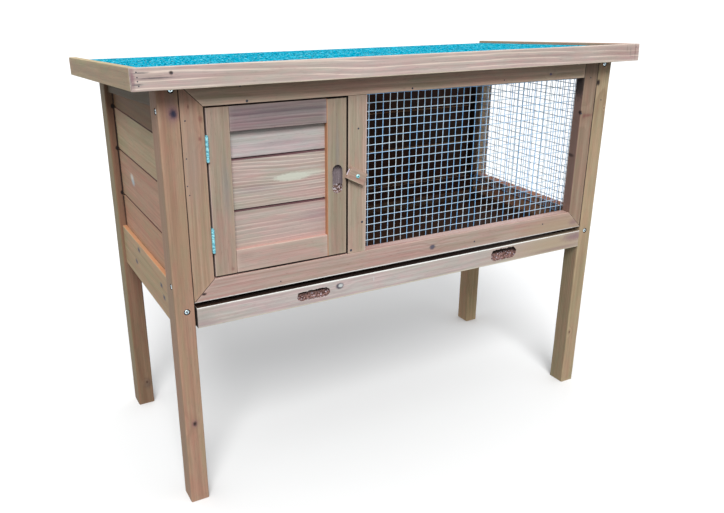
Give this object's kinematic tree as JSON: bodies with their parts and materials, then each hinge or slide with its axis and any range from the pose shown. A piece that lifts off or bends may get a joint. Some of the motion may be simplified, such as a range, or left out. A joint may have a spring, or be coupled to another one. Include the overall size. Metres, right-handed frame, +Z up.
{
  "type": "wooden rabbit hutch",
  "caption": "Raised wooden rabbit hutch on legs with a felted lean-to roof, a hinged door with a turn-button, a wired run and a pull-out tray.",
  "frame": {"origin": "on the ground under the middle of the roof's outline, level with the soles of the legs", "axes": "+X to the run's end (right in front view), +Y to the back, +Z up; the door, the wire front and the tray front face -Y"},
  "size_m": [0.912, 0.4581, 0.6999],
  "materials": {
    "leg_wood": "stained softwood, planed, eased edges, low sheen",
    "front_frame_wood": "stained softwood, planed, open grain",
    "side_rail_wood": "stained softwood, planed",
    "wall_board_wood": "stained softwood boards with V joints",
    "door_frame_wood": "stained softwood, planed",
    "door_board_wood": "pinkish stained softwood boards",
    "roof_edging_wood": "pinkish-brown stained softwood, weathered",
    "deck_board": "rough roof board",
    "button_wood": "sawn stained softwood",
    "tray_wood": "stained softwood, rough routed recesses",
    "tray_ply": "dark stained plywood",
    "roof_felt": "turquoise mineral-faced roofing felt, fine grain",
    "mesh_wire": "galvanised welded wire",
    "zinc_steel": "bright zinc plate",
    "nail_steel": "dark nail heads"
  },
  "bodies": {
    "hutch": {"back_board_1": "wall_board_wood", "back_board_2": "wall_board_wood", "back_board_3": "wall_board_wood", "back_bottom_rail": "side_rail_wood", "back_top_rail": "side_rail_wood", "frame_screws": "zinc_steel", "front_bottom_rail": "front_frame_wood", "front_left_stile": "front_frame_wood", "front_mesh": "mesh_wire", "front_mullion": "front_frame_wood", "front_right_stile": "front_frame_wood", "front_top_rail": "front_frame_wood", "hinge_frame_screws": "zinc_steel", "hinge_lower_frame_leaf": "zinc_steel", "hinge_pins": "zinc_steel", "hinge_upper_frame_leaf": "zinc_steel", "left_board_1": "wall_board_wood", "left_board_2": "wall_board_wood", "left_board_3": "wall_board_wood", "left_board_4": "wall_board_wood", "left_bottom_rail": "side_rail_wood", "left_top_rail": "side_rail_wood", "leg_front_left": "leg_wood", "leg_front_right": "leg_wood", "leg_rear_left": "leg_wood", "leg_rear_right": "leg_wood", "mesh_staples": "zinc_steel", "partition_battens": "wall_board_wood", "partition_panel": "wall_board_wood", "right_bottom_rail": "side_rail_wood", "right_mesh": "mesh_wire", "right_top_rail": "side_rail_wood", "roof_deck": "deck_board", "roof_end_edging_left": "roof_edging_wood", "roof_end_edging_right": "roof_edging_wood", "roof_felt": "roof_felt", "roof_front_edging": "roof_edging_wood", "roof_nails": "nail_steel", "tray_runner_left": "tray_wood", "tray_runner_right": "tray_wood", "turn_button_screw": "zinc_steel", "wall_battens": "wall_board_wood"},
    "door": {"door_board_1": "door_board_wood", "door_board_2": "door_board_wood", "door_board_3": "door_board_wood", "door_bottom_rail": "door_frame_wood", "door_left_stile": "door_frame_wood", "door_right_stile": "door_frame_wood", "door_top_rail": "door_frame_wood", "hinge_door_screws": "zinc_steel", "hinge_lower_door_leaf": "zinc_steel", "hinge_upper_door_leaf": "zinc_steel"},
    "button": {"turn_button": "button_wood", "turn_button_staple": "zinc_steel"},
    "tray": {"tray_front": "tray_wood", "tray_base": "tray_ply", "tray_back": "tray_wood", "tray_side_left": "tray_wood", "tray_side_right": "tray_wood"}
  },
  "joints": [
    {"name": "door_hinge", "type": "hinge", "parent": "hutch", "child": "door", "pos_m": [-0.35525, -0.20125, 0.5127], "axis": [0, 0, -1], "range_deg": [0, 170]},
    {"name": "turn_button_pivot", "type": "hinge", "parent": "hutch", "child": "button", "pos_m": [-0.1175, -0.20345, 0.516], "axis": [0, -1, 0], "continuous": true},
    {"name": "tray_slide", "type": "slide", "parent": "hutch", "child": "tray", "axis": [0, -1, 0], "range_m": [0, 0.3]}
  ]
}
